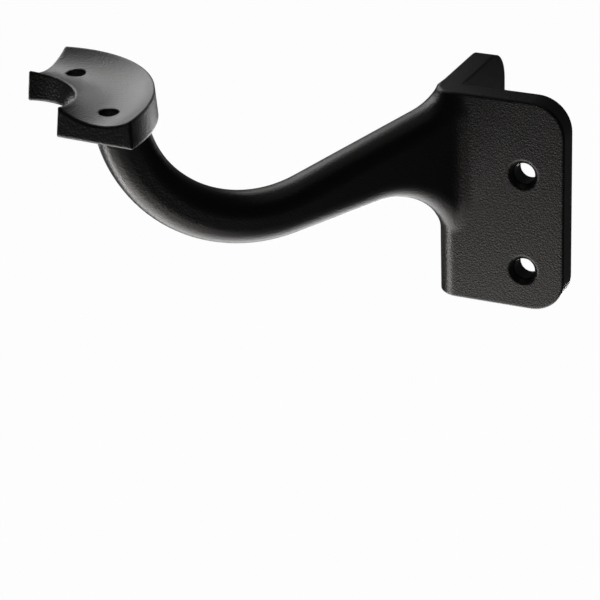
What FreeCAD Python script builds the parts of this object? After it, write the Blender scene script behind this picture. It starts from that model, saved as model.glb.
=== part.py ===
import FreeCAD, Part
import math
import os
import Sketcher

# Handrail bracket for the corner of a square post: one aluminium casting.
# A V-shaped plate wraps the post's corner and an arm leaves its rounded nose,
# dips, and rises to a saddle that carries a 90 degree handrail elbow.
#
# Frame: the origin is the post's corner edge at the middle of the plate's height,
# the arm runs along -X in the XZ plane and +Z is up. The two legs of the plate run
# back at 45 degrees, one to -Y (near) and one to +Y (far). Millimetres, degrees.

SIZES = {
    # V plate: height, wall, and each leg from the sharp outer corner to its end
    "plate_height": 60.0,
    "plate_wall": 6.35,
    "leg_length": 37.4,
    "leg_corner_radius": 9.4,
    "nose_radius": 6.4,
    # two countersunk screws through each leg
    "screw_from_end": 11.5,
    "screw_from_top": 20.9,
    "screw_spacing": 27.8,
    "screw_hole": 6.0,
    "screw_head": 8.5,
    "screw_head_angle": 90.0,
    # arm: rounded section, bend under the saddle, and root arcs that turn into the nose;
    # the bend's centre is set by its reach from the post's corner edge
    "arm_width": 12.2,
    "arm_depth": 13.85,
    "arm_edge_radius": 5.5,
    "bend_reach": 58.0,
    "bend_radius": 37.0,
    "bend_low_level": 2.75,
    "arm_inside_rail": 2.5,
    "top_root_radius": 14.7,
    "top_root_inset": 2.4,
    "under_root_radius": 17.3,
    "under_root_inset": 1.0,
    "under_root_drop": 15.55,
    "root_blend": 7.4,
    # 90 degree elbow of the handrail, bent about a vertical axis
    "rail_diameter": 38.1,
    "rail_bend_radius": 30.0,
    "seat_clearance": 0.5,
    # saddle block under the elbow; its outline is given at its underside and drafts inwards
    "saddle_level": 39.65,
    "saddle_floor": 4.8,
    "saddle_half_angle": 47.7,
    "saddle_offset": 3.2,
    "saddle_overhang": 2.1,
    "saddle_front": 9.5,
    "saddle_draft": 4.0,
    "notch_radius": 15.2,
    "seat_hole": 5.2,
    "seat_hole_angle": 30.0,
    # break of the casting's sharp edges
    "edge_break": 0.4,
}

# How far one form runs into the next, and how far a cutter stands clear
OVERLAP = 1.0
CLEAR = 20.0

# Half the flat that is left at least between two rounded edges of the arm
EDGE_LAND = 0.5

# How near counts as touching
TOUCH = 1e-3

doc = FreeCAD.newDocument("handrail_bracket")
sheet = doc.addObject("Spreadsheet::Sheet", "sizes")
for row, (name, value) in enumerate(SIZES.items(), start=1):
    sheet.set("A%d" % row, name)
    sheet.set("B%d" % row, str(value))
    sheet.setAlias("B%d" % row, name)
doc.recompute()

body = doc.addObject("PartDesign::Body", "bracket_casting")
body.Label = "bracket_casting"


# ---------------------------------------------------------------- helpers

def flat(x, y):
    """A point of a sketch."""
    return FreeCAD.Vector(x, y, 0)


def origin_item(role):
    for item in body.Origin.OriginFeatures:
        if item.Role == role:
            return item
    raise ValueError(role)


def new_sketch(name, role):
    sketch = body.newObject("Sketcher::SketchObject", name)
    sketch.AttachmentSupport = [(origin_item(role), "")]
    sketch.MapMode = "FlatFace"
    return sketch


def bind(sketch, kind, args, value, expression):
    """A dimension of the sketch, driven by the sheet."""
    index = sketch.addConstraint(Sketcher.Constraint(kind, *args, value))
    sketch.setExpression("Constraints[%d]" % index, expression)


def join(sketch, first, second, smooth=False):
    """Join the end of one element to the start of the next."""
    kind = "Tangent" if smooth else "Coincident"
    sketch.addConstraint(Sketcher.Constraint(kind, first[0], first[1], second[0], second[1]))


def arc(centre, radius, start, end):
    """A counterclockwise arc between two angles in radians."""
    circle = Part.Circle(flat(*centre), FreeCAD.Vector(0, 0, 1), radius)
    return Part.ArcOfCircle(circle, start, end)


def line(start, end):
    return Part.LineSegment(flat(*start), flat(*end))


def checked(feature):
    doc.recompute()
    if "Invalid" in feature.State or "Error" in feature.State:
        raise RuntimeError(feature.Name + " failed")
    return feature


def tangent_slope(first, second, gap):
    """Slope of a line that passes two centres, the second farther above it by a gap."""
    across = (second[0] - first[0], second[1] - first[1])
    return math.atan2(across[1], across[0]) - math.asin(gap / math.hypot(*across))


def middle(edge):
    return edge.valueAt((edge.FirstParameter + edge.LastParameter) / 2)


def dress_edges(kind, name, base, wanted, measure, text):
    """A fillet or a chamfer on the edges of the base that the test picks."""
    names = ["Edge%d" % n for n, edge in enumerate(base.Shape.Edges, start=1) if wanted(edge)]
    if not names:
        raise RuntimeError(name + " found no edge")
    feature = body.newObject(kind, name)
    feature.Base = (base, names)
    feature.setExpression(measure, text)
    return checked(feature)


def round_edges(name, base, wanted, radius_text):
    return dress_edges("PartDesign::Fillet", name, base, wanted, "Radius", radius_text)


def break_edges(name, base, wanted):
    return dress_edges("PartDesign::Chamfer", name, base, wanted, "Size", "sizes.edge_break")


START, END, CENTRE = range(1, 4)
ORIGIN = (-1, 1)
X_AXIS = -1

# ---------------------------------------------------------------- derived places

def size(name):
    return float(sheet.get(name))


HALF_HEIGHT = size("plate_height") / 2
NOSE_X = -size("plate_wall") * math.sqrt(2) + size("nose_radius") * (math.sqrt(2) - 1)
NOSE_TEXT = "sizes.plate_wall * sqrt(2) - sizes.nose_radius * (sqrt(2) - 1)"
# The elbow's vertical axis, from the post's corner edge
AXIS_REACH = (size("bend_reach") + size("bend_radius") + size("arm_inside_rail")
              + size("rail_bend_radius"))
AXIS_TEXT = ("(sizes.bend_reach + sizes.bend_radius + sizes.arm_inside_rail"
             " + sizes.rail_bend_radius)")
SEAT_RADIUS = size("rail_diameter") / 2 + size("seat_clearance")
RAIL_LEVEL = size("saddle_level") + size("saddle_floor") + SEAT_RADIUS
RAIL_LEVEL_TEXT = ("sizes.saddle_level + sizes.saddle_floor"
                   " + sizes.rail_diameter / 2 + sizes.seat_clearance")
# The saddle's outer wall stands out beyond the arm's inner side
SADDLE_RADIUS = (size("rail_bend_radius") + size("arm_inside_rail") + size("arm_depth") / 2
                 + size("saddle_overhang") - size("saddle_offset"))
SADDLE_RADIUS_TEXT = ("sizes.rail_bend_radius + sizes.arm_inside_rail + sizes.arm_depth / 2"
                      " + sizes.saddle_overhang - sizes.saddle_offset")


# ---------------------------------------------------------------- arm

def draw_arm():
    """Side outline of the arm: two concentric bends, two tapering straights and two roots."""
    sketch = new_sketch("ArmOutline", "XZ_Plane")
    centre = (-size("bend_reach"), size("bend_low_level") + size("bend_radius"))
    inner = size("bend_radius") - size("arm_depth") / 2
    outer = size("bend_radius") + size("arm_depth") / 2
    cap = size("saddle_level") + size("saddle_floor")
    back = size("plate_wall") + OVERLAP

    # upper side: a straight from the bend to the root arc, which passes the nose at the plate's top
    root = size("top_root_radius")
    top_x = NOSE_X + size("top_root_inset")
    beyond = math.sqrt(root ** 2 - (root - size("top_root_inset")) ** 2)
    top_centre = (top_x - root, HALF_HEIGHT + beyond)
    rise = tangent_slope(centre, top_centre, root - inner)
    bend_end = (centre[0] + inner * math.sin(rise), centre[1] - inner * math.cos(rise))
    top_turn = (top_centre[0] + root * math.sin(rise), top_centre[1] - root * math.cos(rise))
    top_end = (top_x, top_centre[1])
    roof = top_end[1] + size("arm_edge_radius") + OVERLAP

    # lower side: a straight from the bend to the root arc, which turns down into the nose
    foot = size("under_root_radius")
    foot_x = NOSE_X + size("under_root_inset")
    foot_centre = (foot_x - foot, -size("under_root_drop"))
    fall = tangent_slope(centre, foot_centre, -outer - foot)
    under_end = (centre[0] + outer * math.sin(fall), centre[1] - outer * math.cos(fall))
    under_turn = (foot_centre[0] - foot * math.sin(fall), foot_centre[1] + foot * math.cos(fall))
    foot_end = (foot_x, foot_centre[1])
    base = foot_centre[1] - size("arm_edge_radius") - OVERLAP

    right, up = math.pi / 2, math.pi
    elements = [
        line((centre[0] - outer, cap), (centre[0] - inner, cap)),
        line((centre[0] - inner, cap), (centre[0] - inner, centre[1])),
        arc(centre, inner, up, 3 * right + rise),
        line(bend_end, top_turn),
        arc(top_centre, root, -right + rise, 0),
        line(top_end, (top_end[0], roof)),
        line((top_end[0], roof), (back, roof)),
        line((back, roof), (back, base)),
        line((back, base), (foot_x, base)),
        line((foot_x, base), foot_end),
        arc(foot_centre, foot, 0, right + fall),
        line(under_end, under_turn),
        arc(centre, outer, up, 3 * right + fall),
        line((centre[0] - outer, centre[1]), (centre[0] - outer, cap)),
    ]
    (CAP, INNER_RISE, INNER, TOP, TOP_ROOT, TOP_WALL, ROOF, BACK, BASE, FOOT_WALL, FOOT_ROOT,
     UNDER, OUTER, OUTER_RISE) = range(len(elements))
    sketch.addGeometry(elements, False)

    join(sketch, (CAP, END), (INNER_RISE, START))
    join(sketch, (INNER_RISE, END), (INNER, START), smooth=True)
    join(sketch, (INNER, END), (TOP, START), smooth=True)
    join(sketch, (TOP, END), (TOP_ROOT, START), smooth=True)
    join(sketch, (TOP_ROOT, END), (TOP_WALL, START), smooth=True)
    join(sketch, (TOP_WALL, END), (ROOF, START))
    join(sketch, (ROOF, END), (BACK, START))
    join(sketch, (BACK, END), (BASE, START))
    join(sketch, (BASE, END), (FOOT_WALL, START))
    join(sketch, (FOOT_WALL, END), (FOOT_ROOT, START), smooth=True)
    join(sketch, (FOOT_ROOT, END), (UNDER, END), smooth=True)
    join(sketch, (UNDER, START), (OUTER, END), smooth=True)
    join(sketch, (OUTER, START), (OUTER_RISE, START), smooth=True)
    join(sketch, (OUTER_RISE, END), (CAP, START))
    for level in (CAP, ROOF, BASE):
        sketch.addConstraint(Sketcher.Constraint("Horizontal", level))
    for upright in (TOP_WALL, BACK, FOOT_WALL, INNER_RISE, OUTER_RISE):
        sketch.addConstraint(Sketcher.Constraint("Vertical", upright))
    sketch.addConstraint(Sketcher.Constraint("Coincident", INNER, CENTRE, OUTER, CENTRE))

    bind(sketch, "DistanceX", (INNER, CENTRE) + ORIGIN, size("bend_reach"), "sizes.bend_reach")
    bind(sketch, "DistanceY", ORIGIN + (INNER, CENTRE), centre[1],
         "sizes.bend_low_level + sizes.bend_radius")
    bind(sketch, "Radius", (INNER,), inner, "sizes.bend_radius - sizes.arm_depth / 2")
    bind(sketch, "Radius", (OUTER,), outer, "sizes.bend_radius + sizes.arm_depth / 2")
    bind(sketch, "DistanceY", ORIGIN + (CAP, START), cap, "sizes.saddle_level + sizes.saddle_floor")
    bind(sketch, "DistanceX", ORIGIN + (BACK, START), back, "sizes.plate_wall + %g" % OVERLAP)
    bind(sketch, "Radius", (TOP_ROOT,), root, "sizes.top_root_radius")
    bind(sketch, "DistanceX", (TOP_WALL, START) + ORIGIN, -top_x,
         NOSE_TEXT + " - sizes.top_root_inset")
    bind(sketch, "DistanceY", (TOP_WALL, START, TOP_WALL, END), roof - top_end[1],
         "sizes.arm_edge_radius + %g" % OVERLAP)
    bind(sketch, "Radius", (FOOT_ROOT,), foot, "sizes.under_root_radius")
    bind(sketch, "DistanceX", (FOOT_WALL, START) + ORIGIN, -foot_x,
         NOSE_TEXT + " - sizes.under_root_inset")
    bind(sketch, "DistanceY", (FOOT_ROOT, CENTRE) + ORIGIN, -foot_centre[1],
         "sizes.under_root_drop")
    bind(sketch, "DistanceY", (FOOT_WALL, START, FOOT_WALL, END), foot_end[1] - base,
         "sizes.arm_edge_radius + %g" % OVERLAP)
    # the upper root arc meets the nose at the plate's top
    nose = sketch.addGeometry(Part.Point(flat(NOSE_X, HALF_HEIGHT)), True)
    sketch.addConstraint(Sketcher.Constraint("PointOnObject", nose, START, TOP_ROOT))
    bind(sketch, "DistanceX", (nose, START) + ORIGIN, -NOSE_X, NOSE_TEXT)
    bind(sketch, "DistanceY", ORIGIN + (nose, START), HALF_HEIGHT, "sizes.plate_height / 2")
    return checked(sketch)


def on_outline_side(edge):
    """Long edges of the arm's two flat sides, without those at its buried ends."""
    point = middle(edge)
    box = edge.BoundBox
    on_side = abs(abs(point.y) - size("arm_width") / 2) < TOUCH and box.YLength < TOUCH
    is_level = box.ZLength < TOUCH
    at_back = abs(point.x - size("plate_wall") - OVERLAP) < TOUCH
    return on_side and not is_level and not at_back


def make_arm():
    sketch = draw_arm()
    arm = body.newObject("PartDesign::Pad", "Arm")
    arm.Profile = sketch
    arm.SideType = "Symmetric"
    arm.setExpression("Length", "sizes.arm_width")
    checked(arm)
    limit = "sizes.arm_width / 2 - %g" % EDGE_LAND
    radius = "min(sizes.arm_edge_radius; %s)" % limit
    return round_edges("ArmEdges", arm, on_outline_side, radius)


# ---------------------------------------------------------------- plate

def draw_plate():
    """Plan of the V plate: two legs at 90 degrees and a rounded nose."""
    sketch = new_sketch("PlatePlan", "XY_Plane")
    q = math.sqrt(0.5)
    wall = size("plate_wall")
    inner = size("leg_length") - wall
    nose = size("nose_radius")
    corner_x = -wall / q
    centre_x = corner_x + nose / q

    def leg_points(side):
        turn = (centre_x - nose * q, side * nose * q)
        outer_end = (inner * q - wall * q, side * (inner * q + wall * q))
        inner_end = (inner * q, side * inner * q)
        return turn, outer_end, inner_end

    near_turn, near_outer, near_inner = leg_points(-1)
    far_turn, far_outer, far_inner = leg_points(1)
    sketch.addGeometry([
        arc((centre_x, 0), nose, 0.75 * math.pi, 1.25 * math.pi),
        line(near_turn, near_outer),
        line(near_outer, near_inner),
        line(near_inner, (0, 0)),
        line((0, 0), far_inner),
        line(far_inner, far_outer),
        line(far_outer, far_turn),
    ], False)
    NOSE, NEAR_OUT, NEAR_END, NEAR_IN, FAR_IN, FAR_END, FAR_OUT = range(7)
    join(sketch, (NOSE, END), (NEAR_OUT, START), smooth=True)
    join(sketch, (NEAR_OUT, END), (NEAR_END, START))
    join(sketch, (NEAR_END, END), (NEAR_IN, START))
    join(sketch, (NEAR_IN, END), (FAR_IN, START))
    join(sketch, (FAR_IN, END), (FAR_END, START))
    join(sketch, (FAR_END, END), (FAR_OUT, START))
    join(sketch, (FAR_OUT, END), (NOSE, START), smooth=True)
    sketch.addConstraint(Sketcher.Constraint("Coincident", NEAR_IN, END, *ORIGIN))
    sketch.addConstraint(Sketcher.Constraint("Parallel", NEAR_OUT, NEAR_IN))
    sketch.addConstraint(Sketcher.Constraint("Parallel", FAR_OUT, FAR_IN))
    sketch.addConstraint(Sketcher.Constraint("Perpendicular", NEAR_END, NEAR_IN))
    sketch.addConstraint(Sketcher.Constraint("Perpendicular", FAR_END, FAR_IN))
    sketch.addConstraint(Sketcher.Constraint("Perpendicular", NEAR_IN, FAR_IN))
    sketch.addConstraint(Sketcher.Constraint("Equal", NEAR_IN, FAR_IN))
    sketch.addConstraint(Sketcher.Constraint("Equal", NEAR_END, FAR_END))
    sketch.addConstraint(Sketcher.Constraint("Angle", FAR_IN, math.radians(45)))
    bind(sketch, "Distance", (FAR_IN,), inner, "sizes.leg_length - sizes.plate_wall")
    bind(sketch, "Distance", (FAR_END,), wall, "sizes.plate_wall")
    bind(sketch, "Radius", (NOSE,), nose, "sizes.nose_radius")
    sketch.setExpression("AttachmentOffset.Base.z", "-sizes.plate_height / 2")
    return checked(sketch)


def draw_post():
    """Plan of the post's corner, which nothing may enter."""
    sketch = new_sketch("PostPlan", "XY_Plane")
    reach = size("leg_length")
    sketch.addGeometry([
        line((0, 0), (reach, -reach)),
        line((reach, -reach), (reach, reach)),
        line((reach, reach), (0, 0)),
    ], False)
    for first, second in ((0, 1), (1, 2), (2, 0)):
        join(sketch, (first, END), (second, START))
    sketch.addConstraint(Sketcher.Constraint("Coincident", 0, START, *ORIGIN))
    sketch.addConstraint(Sketcher.Constraint("Vertical", 1))
    sketch.addConstraint(Sketcher.Constraint("Perpendicular", 0, 2))
    sketch.addConstraint(Sketcher.Constraint("Equal", 0, 2))
    bind(sketch, "DistanceX", ORIGIN + (0, END), reach, "sizes.leg_length")
    return checked(sketch)


def draw_top():
    """Rectangle over the plate and the arm's root, at the plate's top."""
    sketch = new_sketch("TopPlan", "XY_Plane")
    reach = size("leg_length")
    corners = [(-reach, -reach), (reach, -reach), (reach, reach), (-reach, reach)]
    sketch.addGeometry([line(corners[i], corners[(i + 1) % 4]) for i in range(4)], False)
    for i in range(4):
        join(sketch, (i, END), ((i + 1) % 4, START))
    for level in (0, 2):
        sketch.addConstraint(Sketcher.Constraint("Horizontal", level))
    for upright in (1, 3):
        sketch.addConstraint(Sketcher.Constraint("Vertical", upright))
    bind(sketch, "DistanceX", ORIGIN + (1, START), reach, "sizes.leg_length")
    bind(sketch, "DistanceX", (3, START) + ORIGIN, reach, "sizes.leg_length")
    bind(sketch, "DistanceY", ORIGIN + (1, END), reach, "sizes.leg_length")
    bind(sketch, "DistanceY", (1, START) + ORIGIN, reach, "sizes.leg_length")
    sketch.setExpression("AttachmentOffset.Base.z", "sizes.plate_height / 2")
    return checked(sketch)


def distance_to(faces, point):
    probe = Part.Vertex(point)
    return min(face.distToShape(probe)[0] for face in faces)


def wall_depth(point):
    """Depth of a point behind the legs' outer faces."""
    return size("plate_wall") - (abs(point.y) - point.x) * math.sqrt(0.5)


def on_front_outline(edge):
    """Sharp edges round the plate's outer faces and across the arm's root at its top."""
    point = middle(edge)
    depth = wall_depth(point)
    if edge.BoundBox.ZLength < TOUCH:
        on_seam = abs(depth - size("plate_wall") / 2) < TOUCH and point.x > 0
        at_end = abs(abs(point.z) - HALF_HEIGHT) < TOUCH
        return at_end and depth < size("plate_wall") - TOUCH and not on_seam
    along_leg = (abs(point.y) + point.x) * math.sqrt(0.5)
    corner_start = size("leg_length") - size("plate_wall") - size("leg_corner_radius")
    return abs(depth) < TOUCH and along_leg > corner_start


def make_plate(arm):
    """The V plate around the arm's root, blended into it and cut level at the top."""
    arm_faces = arm.Shape.Faces
    plate = body.newObject("PartDesign::Pad", "Plate")
    plate.Profile = draw_plate()
    plate.setExpression("Length", "sizes.plate_height + %g" % CLEAR)
    checked(plate)
    post = body.newObject("PartDesign::Pocket", "PostCorner")
    post.Profile = draw_post()
    post.SideType = "Symmetric"
    post.Type = "ThroughAll"
    checked(post)

    def around_root(edge):
        point = middle(edge)
        beside = NOSE_X - TOUCH < point.x < -OVERLAP / 2
        if not beside or distance_to(arm_faces, point) > TOUCH:
            return False
        centre_x = (size("nose_radius") - size("plate_wall")) * math.sqrt(2)
        nose_gap = math.hypot(point.x - centre_x, point.y) - size("nose_radius")
        return abs(wall_depth(point)) < TOUCH or abs(nose_gap) < TOUCH

    round_edges("RootBlend", post, around_root, "sizes.root_blend")
    top = body.newObject("PartDesign::Pocket", "PlateTop")
    top.Profile = draw_top()
    top.Reversed = True
    top.Type = "ThroughAll"
    checked(top)

    def leg_corner(edge):
        point = middle(edge)
        at_level = abs(abs(point.z) - HALF_HEIGHT) < TOUCH and edge.BoundBox.ZLength < TOUCH
        return at_level and abs(edge.Length - size("plate_wall")) < TOUCH and point.x > 0

    corners = round_edges("LegCorners", top, leg_corner, "sizes.leg_corner_radius")
    break_edges("PlateEdges", corners, on_front_outline)


# ---------------------------------------------------------------- saddle

def draw_saddle():
    """Plan of the saddle's foot: two radial end faces, a notch and a rounded outer wall."""
    sketch = new_sketch("SaddlePlan", "XY_Plane")
    axis_x = -AXIS_REACH
    notch_x = axis_x + size("rail_bend_radius") - size("saddle_front") - size("notch_radius")
    outer_x = axis_x + size("saddle_offset")
    half = math.radians(size("saddle_half_angle"))

    def on_end_face(centre_x, radius):
        offset = centre_x - axis_x
        reach = offset * math.cos(half) + math.sqrt(radius ** 2 - (offset * math.sin(half)) ** 2)
        return axis_x + reach * math.cos(half), reach * math.sin(half)

    notch_end = on_end_face(notch_x, size("notch_radius"))
    outer_end = on_end_face(outer_x, SADDLE_RADIUS)
    notch_angle = math.atan2(notch_end[1], notch_end[0] - notch_x)
    outer_angle = math.atan2(outer_end[1], outer_end[0] - outer_x)
    sketch.addGeometry([
        arc((notch_x, 0), size("notch_radius"), -notch_angle, notch_angle),
        line(notch_end, outer_end),
        arc((outer_x, 0), SADDLE_RADIUS, -outer_angle, outer_angle),
        line((outer_end[0], -outer_end[1]), (notch_end[0], -notch_end[1])),
    ], False)
    NOTCH, FAR_SIDE, OUTER, NEAR_SIDE = range(4)
    join(sketch, (NOTCH, END), (FAR_SIDE, START))
    join(sketch, (FAR_SIDE, END), (OUTER, END))
    join(sketch, (OUTER, START), (NEAR_SIDE, START))
    join(sketch, (NEAR_SIDE, END), (NOTCH, START))
    axis = sketch.addGeometry(Part.Point(flat(axis_x, 0)), True)
    sketch.addConstraint(Sketcher.Constraint("PointOnObject", axis, START, X_AXIS))
    sketch.addConstraint(Sketcher.Constraint("PointOnObject", NOTCH, CENTRE, X_AXIS))
    sketch.addConstraint(Sketcher.Constraint("PointOnObject", OUTER, CENTRE, X_AXIS))
    sketch.addConstraint(Sketcher.Constraint("PointOnObject", axis, START, FAR_SIDE))
    sketch.addConstraint(Sketcher.Constraint("PointOnObject", axis, START, NEAR_SIDE))
    bind(sketch, "DistanceX", (axis, START) + ORIGIN, -axis_x, AXIS_TEXT)
    bind(sketch, "DistanceX", (NOTCH, CENTRE) + ORIGIN, -notch_x,
         AXIS_TEXT + " - sizes.rail_bend_radius + sizes.saddle_front + sizes.notch_radius")
    bind(sketch, "DistanceX", (OUTER, CENTRE) + ORIGIN, -outer_x,
         AXIS_TEXT + " - sizes.saddle_offset")
    bind(sketch, "Radius", (NOTCH,), size("notch_radius"), "sizes.notch_radius")
    bind(sketch, "Radius", (OUTER,), SADDLE_RADIUS, SADDLE_RADIUS_TEXT)
    bind(sketch, "Angle", (FAR_SIDE,), half, "sizes.saddle_half_angle * 1 deg")
    bind(sketch, "Angle", (NEAR_SIDE,), math.pi - half, "180 deg - sizes.saddle_half_angle * 1 deg")
    sketch.setExpression("AttachmentOffset.Base.z", "sizes.saddle_level")
    return checked(sketch)


def draw_rail():
    """Section of the handrail tube, beside the elbow's vertical axis."""
    sketch = new_sketch("RailSection", "XZ_Plane")
    sketch.setExpression("AttachmentOffset.Base.x", "-" + AXIS_TEXT)
    circle = Part.Circle(flat(size("rail_bend_radius"), RAIL_LEVEL), FreeCAD.Vector(0, 0, 1),
                         SEAT_RADIUS)
    sketch.addGeometry(circle, False)
    bind(sketch, "DistanceX", ORIGIN + (0, CENTRE), size("rail_bend_radius"),
         "sizes.rail_bend_radius")
    bind(sketch, "DistanceY", ORIGIN + (0, CENTRE), RAIL_LEVEL, RAIL_LEVEL_TEXT)
    bind(sketch, "Radius", (0,), SEAT_RADIUS, "sizes.rail_diameter / 2 + sizes.seat_clearance")
    return checked(sketch)


def draw_seat_holes():
    sketch = new_sketch("SeatHoles", "XY_Plane")
    angle = math.radians(size("seat_hole_angle"))
    reach = AXIS_REACH - size("rail_bend_radius") * math.cos(angle)
    spread = size("rail_bend_radius") * math.sin(angle)
    reach_text = AXIS_TEXT + " - sizes.rail_bend_radius * cos(sizes.seat_hole_angle)"
    spread_text = "sizes.rail_bend_radius * sin(sizes.seat_hole_angle)"
    for index, side in enumerate((-1, 1)):
        circle = Part.Circle(flat(-reach, side * spread), FreeCAD.Vector(0, 0, 1),
                             size("seat_hole") / 2)
        sketch.addGeometry(circle, False)
        bind(sketch, "DistanceX", (index, CENTRE) + ORIGIN, reach, reach_text)
        ends = ORIGIN + (index, CENTRE) if side > 0 else (index, CENTRE) + ORIGIN
        bind(sketch, "DistanceY", ends, spread, spread_text)
        bind(sketch, "Diameter", (index,), size("seat_hole"), "sizes.seat_hole")
    return checked(sketch)


def make_saddle():
    """The saddle block on the arm's end, hollowed by the elbow and drilled for its screws."""
    block = body.newObject("PartDesign::Pad", "Saddle")
    block.Profile = draw_saddle()
    block.setExpression("Length", RAIL_LEVEL_TEXT + " - sizes.saddle_level")
    block.setExpression("TaperAngle", "-sizes.saddle_draft * 1 deg")
    checked(block)
    section = draw_rail()
    seat = body.newObject("PartDesign::Groove", "Seat")
    seat.Profile = section
    seat.ReferenceAxis = (section, ["V_Axis"])
    seat.Angle = 360
    checked(seat)

    def on_block(edge):
        return middle(edge).x < NOSE_X - CLEAR

    def on_rim(edge):
        return on_block(edge) and middle(edge).z > size("saddle_level") + TOUCH

    def on_foot(edge):
        point = middle(edge)
        at_foot = abs(point.z - size("saddle_level")) < TOUCH and edge.BoundBox.ZLength < TOUCH
        beside_arm = abs(point.y) > size("arm_width") / 2 + TOUCH
        return on_block(edge) and at_foot and (beside_arm or edge.Length > 2 * size("arm_width"))

    break_edges("SaddleEdges", seat, lambda edge: on_rim(edge) or on_foot(edge))


# ---------------------------------------------------------------- screw holes

def draw_leg_screws():
    """Screw centres on the near leg's outer face."""
    sketch = new_sketch("LegScrews", "XZ_Plane")
    turn = FreeCAD.Rotation(FreeCAD.Vector(0, 1, 0), -45)
    sketch.AttachmentOffset = FreeCAD.Placement(FreeCAD.Vector(0, 0, 0), turn)
    sketch.setExpression("AttachmentOffset.Base.x", "-sizes.plate_wall / sqrt(2)")
    sketch.setExpression("AttachmentOffset.Base.z", "sizes.plate_wall / sqrt(2)")
    along = size("leg_length") - size("plate_wall") - size("screw_from_end")
    top = HALF_HEIGHT - size("screw_from_top")
    for index, level in enumerate((top, top - size("screw_spacing"))):
        circle = Part.Circle(flat(along, level), FreeCAD.Vector(0, 0, 1), size("screw_hole") / 2)
        sketch.addGeometry(circle, False)
        bind(sketch, "DistanceX", ORIGIN + (index, CENTRE), along,
             "sizes.leg_length - sizes.plate_wall - sizes.screw_from_end")
        bind(sketch, "Diameter", (index,), size("screw_hole"), "sizes.screw_hole")
    bind(sketch, "DistanceY", ORIGIN + (0, CENTRE), top,
         "sizes.plate_height / 2 - sizes.screw_from_top")
    bind(sketch, "DistanceY", (1, CENTRE, 0, CENTRE), size("screw_spacing"),
         "sizes.screw_spacing")
    return checked(sketch)


def make_leg_screws():
    """Countersunk holes through the near leg, mirrored to the far leg."""
    holes = body.newObject("PartDesign::Hole", "LegHoles")
    holes.Profile = draw_leg_screws()
    doc.recompute()
    holes.DepthType = "ThroughAll"
    holes.setExpression("Diameter", "sizes.screw_hole")
    holes.HoleCutType = "Countersink"
    holes.HoleCutCustomValues = True
    holes.setExpression("HoleCutDiameter", "sizes.screw_head")
    holes.setExpression("HoleCutCountersinkAngle", "sizes.screw_head_angle * 1 deg")
    checked(holes)
    pair = body.newObject("PartDesign::Mirrored", "FarLegHoles")
    pair.Originals = [holes]
    pair.MirrorPlane = (origin_item("XZ_Plane"), [""])
    body.Tip = pair
    checked(pair)


def make_seat_holes():
    holes = body.newObject("PartDesign::Pocket", "SeatScrewHoles")
    holes.Profile = draw_seat_holes()
    holes.Reversed = True
    holes.Type = "ThroughAll"
    checked(holes)


make_plate(make_arm())
make_saddle()
make_leg_screws()
make_seat_holes()
doc.recompute()

for item in doc.Objects:
    if "Invalid" in item.State or "Error" in item.State:
        raise RuntimeError(item.Name + " failed")
casting = body.Shape
if casting.isNull() or not casting.isValid() or len(casting.Solids) != 1:
    raise RuntimeError("the casting is not one valid solid")

os.makedirs("parts", exist_ok=True)
casting.exportStep("parts/%s.step" % body.Label)
print("volume %.0f mm3" % casting.Volume)
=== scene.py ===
import math

import bpy
from mathutils import Matrix, Vector


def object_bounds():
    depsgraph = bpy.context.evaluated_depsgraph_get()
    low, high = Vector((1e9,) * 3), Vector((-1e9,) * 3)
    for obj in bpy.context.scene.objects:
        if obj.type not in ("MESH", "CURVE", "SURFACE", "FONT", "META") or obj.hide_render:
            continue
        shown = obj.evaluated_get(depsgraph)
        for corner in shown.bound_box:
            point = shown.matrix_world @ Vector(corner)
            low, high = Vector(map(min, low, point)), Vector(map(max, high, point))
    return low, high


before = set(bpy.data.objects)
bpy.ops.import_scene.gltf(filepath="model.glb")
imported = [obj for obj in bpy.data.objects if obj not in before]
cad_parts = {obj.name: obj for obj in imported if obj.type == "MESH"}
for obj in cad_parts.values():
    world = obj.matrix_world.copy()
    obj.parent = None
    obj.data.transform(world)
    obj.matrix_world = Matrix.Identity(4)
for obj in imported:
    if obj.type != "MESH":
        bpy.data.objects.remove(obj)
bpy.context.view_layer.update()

MM = 0.001
PAPER_WHITE = 0.98
FLOOR_GAP = 0.40
STUDIO_FILL = 0.07


def clear_nodes(material):
    """An empty node tree with its output."""
    material.use_nodes = True
    tree = material.node_tree
    tree.nodes.clear()
    return tree, tree.nodes.new("ShaderNodeOutputMaterial")


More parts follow.
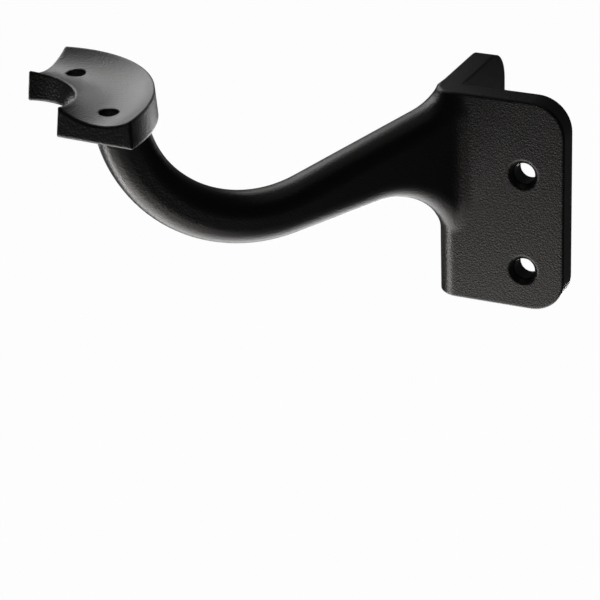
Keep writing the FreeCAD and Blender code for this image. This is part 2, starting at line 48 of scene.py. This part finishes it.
def powder_coat():
    """Satin black powder coat with a fine pebble texture."""
    material = bpy.data.materials.new("black_powder_coat")
    tree, output = clear_nodes(material)
    nodes, links = tree.nodes, tree.links
    place = nodes.new("ShaderNodeTexCoord")

    def noise(scale, detail):
        node = nodes.new("ShaderNodeTexNoise")
        node.inputs["Scale"].default_value = scale
        node.inputs["Detail"].default_value = detail
        links.new(place.outputs["Object"], node.inputs["Vector"])
        return node.outputs["Fac"]

    def ramp(value, low, high):
        """Rises from 0 at low to 1 at high."""
        node = nodes.new("ShaderNodeMapRange")
        node.inputs["From Min"].default_value = low
        node.inputs["From Max"].default_value = high
        links.new(value, node.inputs["Value"])
        return node.outputs["Result"]

    def combine(operation, *values):
        node = nodes.new("ShaderNodeMath")
        node.operation = operation
        for slot, value in enumerate(values):
            links.new(value, node.inputs[slot])
        return node.outputs["Value"]

    def split(vector):
        """The X, Y and Z of a vector."""
        node = nodes.new("ShaderNodeSeparateXYZ")
        links.new(vector, node.inputs["Vector"])
        return node.outputs

    pebble = noise(2000.0, 1.5)
    cloud = noise(90.0, 3.0)
    speck = noise(1500.0, 0.0)

    tint = nodes.new("ShaderNodeValToRGB")
    dark, light = tint.color_ramp.elements
    dark.position = 0.3
    dark.color = (0.0014, 0.0013, 0.0012, 1)
    light.position = 0.7
    light.color = (0.0026, 0.0023, 0.0022, 1)
    links.new(cloud, tint.inputs["Fac"])

    sheen = nodes.new("ShaderNodeMapRange")
    sheen.inputs["To Min"].default_value = 0.28
    sheen.inputs["To Max"].default_value = 0.38
    links.new(pebble, sheen.inputs["Value"])

    # The saddle's end faces and notch keep a rougher skin than its seat.
    facing = split(nodes.new("ShaderNodeNewGeometry").outputs["Normal"])
    upright = ramp(combine("ABSOLUTE", facing["Z"]), 0.5, 0.2)
    outward = ramp(facing["X"], 0.3, 0.0)
    saddle = ramp(split(place.outputs["Object"])["Z"], 38 * MM, 41 * MM)
    rough = combine("MULTIPLY", combine("MULTIPLY", upright, outward), saddle)

    soft_edge = nodes.new("ShaderNodeBevel")
    soft_edge.samples = 6
    soft_edge.inputs["Radius"].default_value = 0.9 * MM

    bump = nodes.new("ShaderNodeBump")
    bump.inputs["Strength"].default_value = 1.0
    bump.inputs["Distance"].default_value = 0.09 * MM
    links.new(combine("MULTIPLY_ADD", speck, rough, pebble), bump.inputs["Height"])
    links.new(soft_edge.outputs["Normal"], bump.inputs["Normal"])

    coat = nodes.new("ShaderNodeBsdfPrincipled")
    coat.inputs["IOR"].default_value = 1.5
    coat.inputs["Specular IOR Level"].default_value = 0.2
    coat.inputs["Specular Tint"].default_value = (1.0, 0.95, 0.92, 1)
    links.new(tint.outputs["Color"], coat.inputs["Base Color"])
    links.new(sheen.outputs["Result"], coat.inputs["Roughness"])
    links.new(bump.outputs["Normal"], coat.inputs["Normal"])
    links.new(coat.outputs["BSDF"], output.inputs["Surface"])
    return material


def paper():
    """White paper that reads white to the camera and keeps a soft shadow."""
    material = bpy.data.materials.new("white_paper")
    tree, output = clear_nodes(material)
    nodes, links = tree.nodes, tree.links
    sheet = nodes.new("ShaderNodeBsdfDiffuse")
    sheet.inputs["Color"].default_value = (0.82, 0.82, 0.82, 1)
    glow = nodes.new("ShaderNodeEmission")
    glow.inputs["Color"].default_value = (1, 1, 1, 1)
    glow.inputs["Strength"].default_value = 1.0
    ray = nodes.new("ShaderNodeLightPath")
    share = nodes.new("ShaderNodeMath")
    share.operation = "MULTIPLY"
    share.inputs[1].default_value = PAPER_WHITE
    links.new(ray.outputs["Is Camera Ray"], share.inputs[0])
    mix = nodes.new("ShaderNodeMixShader")
    links.new(share.outputs["Value"], mix.inputs["Fac"])
    links.new(sheet.outputs["BSDF"], mix.inputs[1])
    links.new(glow.outputs["Emission"], mix.inputs[2])
    links.new(mix.outputs["Shader"], output.inputs["Surface"])
    return material


def make_floor():
    """The floor, well below the bracket, which hangs in the air as on its post."""
    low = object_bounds()[0]
    bpy.ops.mesh.primitive_plane_add(size=12.0, location=(0, 0, low[2] - FLOOR_GAP))
    floor = bpy.context.object
    floor.name = "floor"
    floor.data.materials.append(paper())


def aim(item, eye, target, roll=0.0):
    """Turn an item at eye towards a target, with its own Y axis up."""
    forward = (Vector(target) - Vector(eye)).normalized()
    turn = forward.to_track_quat("-Z", "Y").to_matrix().to_4x4()
    item.matrix_world = Matrix.Translation(eye) @ turn @ Matrix.Rotation(roll, 4, "Z")


def soft_box(name, eye, target, width, height, glow):
    """A rectangular soft box whose face has the given brightness, unseen by the camera."""
    lamp = bpy.data.lights.new(name, "AREA")
    lamp.shape = "RECTANGLE"
    lamp.size = width
    lamp.size_y = height
    lamp.energy = math.pi * width * height * glow
    box = bpy.data.objects.new(name, lamp)
    bpy.context.scene.collection.objects.link(box)
    aim(box, eye, target)
    box.visible_camera = False


def make_lamps():
    """Soft boxes close around the bracket."""
    middle = (-0.05, 0, 0)
    seat = (-0.08, 0, 0.03)

    # Behind and above, mirrored in the saddle's seat.
    soft_box("key", (-0.15, 0.245, 0.16), seat, 0.12, 0.12, 5.5)
    soft_box("key_middle", (-0.06, 0.25, 0.15), seat, 0.08, 0.12, 3.7)
    soft_box("key_fade", (0.025, 0.24, 0.15), seat, 0.08, 0.12, 2.1)
    soft_box("high_back", (-0.12, 0.19, 0.28), seat, 0.20, 0.07, 1.3)
    soft_box("overhead", (-0.05, 0.0, 0.35), middle, 0.30, 0.30, 0.4)

    # Low, all round.
    soft_box("low_back", (-0.187, 0.239, -0.04), middle, 0.10, 0.10, 6.9)
    soft_box("low_left", (-0.27, 0.06, -0.15), middle, 0.08, 0.14, 17)
    soft_box("low_front_left", (-0.23, -0.104, -0.187), middle, 0.12, 0.12, 3.2)
    soft_box("low_front", (-0.08, -0.16, -0.15), (0, 0, 0), 0.08, 0.07, 6)
    soft_box("low_right", (0.12, 0.18, -0.14), middle, 0.12, 0.12, 7.5)
    soft_box("right", (0.10, 0.15, -0.06), (-0.09, -0.02, 0.04), 0.06, 0.10, 1.1)

    # Straight below, shining up.
    soft_box("under_left", (-0.20, 0.0, -0.24), (-0.20, 0.0, 0), 0.16, 0.30, 7.1)
    soft_box("under", (0.0, 0.05, -0.24), (0.0, 0.05, 0), 0.24, 0.26, 4.6)


def make_camera():
    azimuth = math.radians(-19.09)
    elevation = math.radians(25.68)
    roll = math.radians(-2.16)
    target = Vector((-46.95, 3.08, -25.90)) * MM
    distance = 745.45 * MM
    forward = Vector((-math.sin(azimuth) * math.cos(elevation),
                      math.cos(azimuth) * math.cos(elevation), -math.sin(elevation)))
    camera_data = bpy.data.cameras.new("camera")
    camera_data.sensor_width = 36.0
    camera_data.lens = 165.15
    camera_data.clip_start = 0.01
    camera = bpy.data.objects.new("camera", camera_data)
    bpy.context.scene.collection.objects.link(camera)
    aim(camera, target - forward * distance, target, roll)
    bpy.context.scene.camera = camera


def make_world():
    """Weak even light, with white behind the floor's edge for the camera."""
    world = bpy.data.worlds.new("studio")
    bpy.context.scene.world = world
    world.use_nodes = True
    nodes, links = world.node_tree.nodes, world.node_tree.links
    sky = nodes["Background"]
    sky.inputs["Color"].default_value = (1, 1, 1, 1)
    ray = nodes.new("ShaderNodeLightPath")
    level = nodes.new("ShaderNodeMapRange")
    level.inputs["To Min"].default_value = STUDIO_FILL
    level.inputs["To Max"].default_value = PAPER_WHITE
    links.new(ray.outputs["Is Camera Ray"], level.inputs["Value"])
    links.new(level.outputs["Result"], sky.inputs["Strength"])


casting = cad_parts["bracket_casting"]
casting.data.materials.clear()
casting.data.materials.append(powder_coat())

make_floor()
make_camera()
make_world()
make_lamps()
bpy.context.scene.view_settings.view_transform = "Standard"
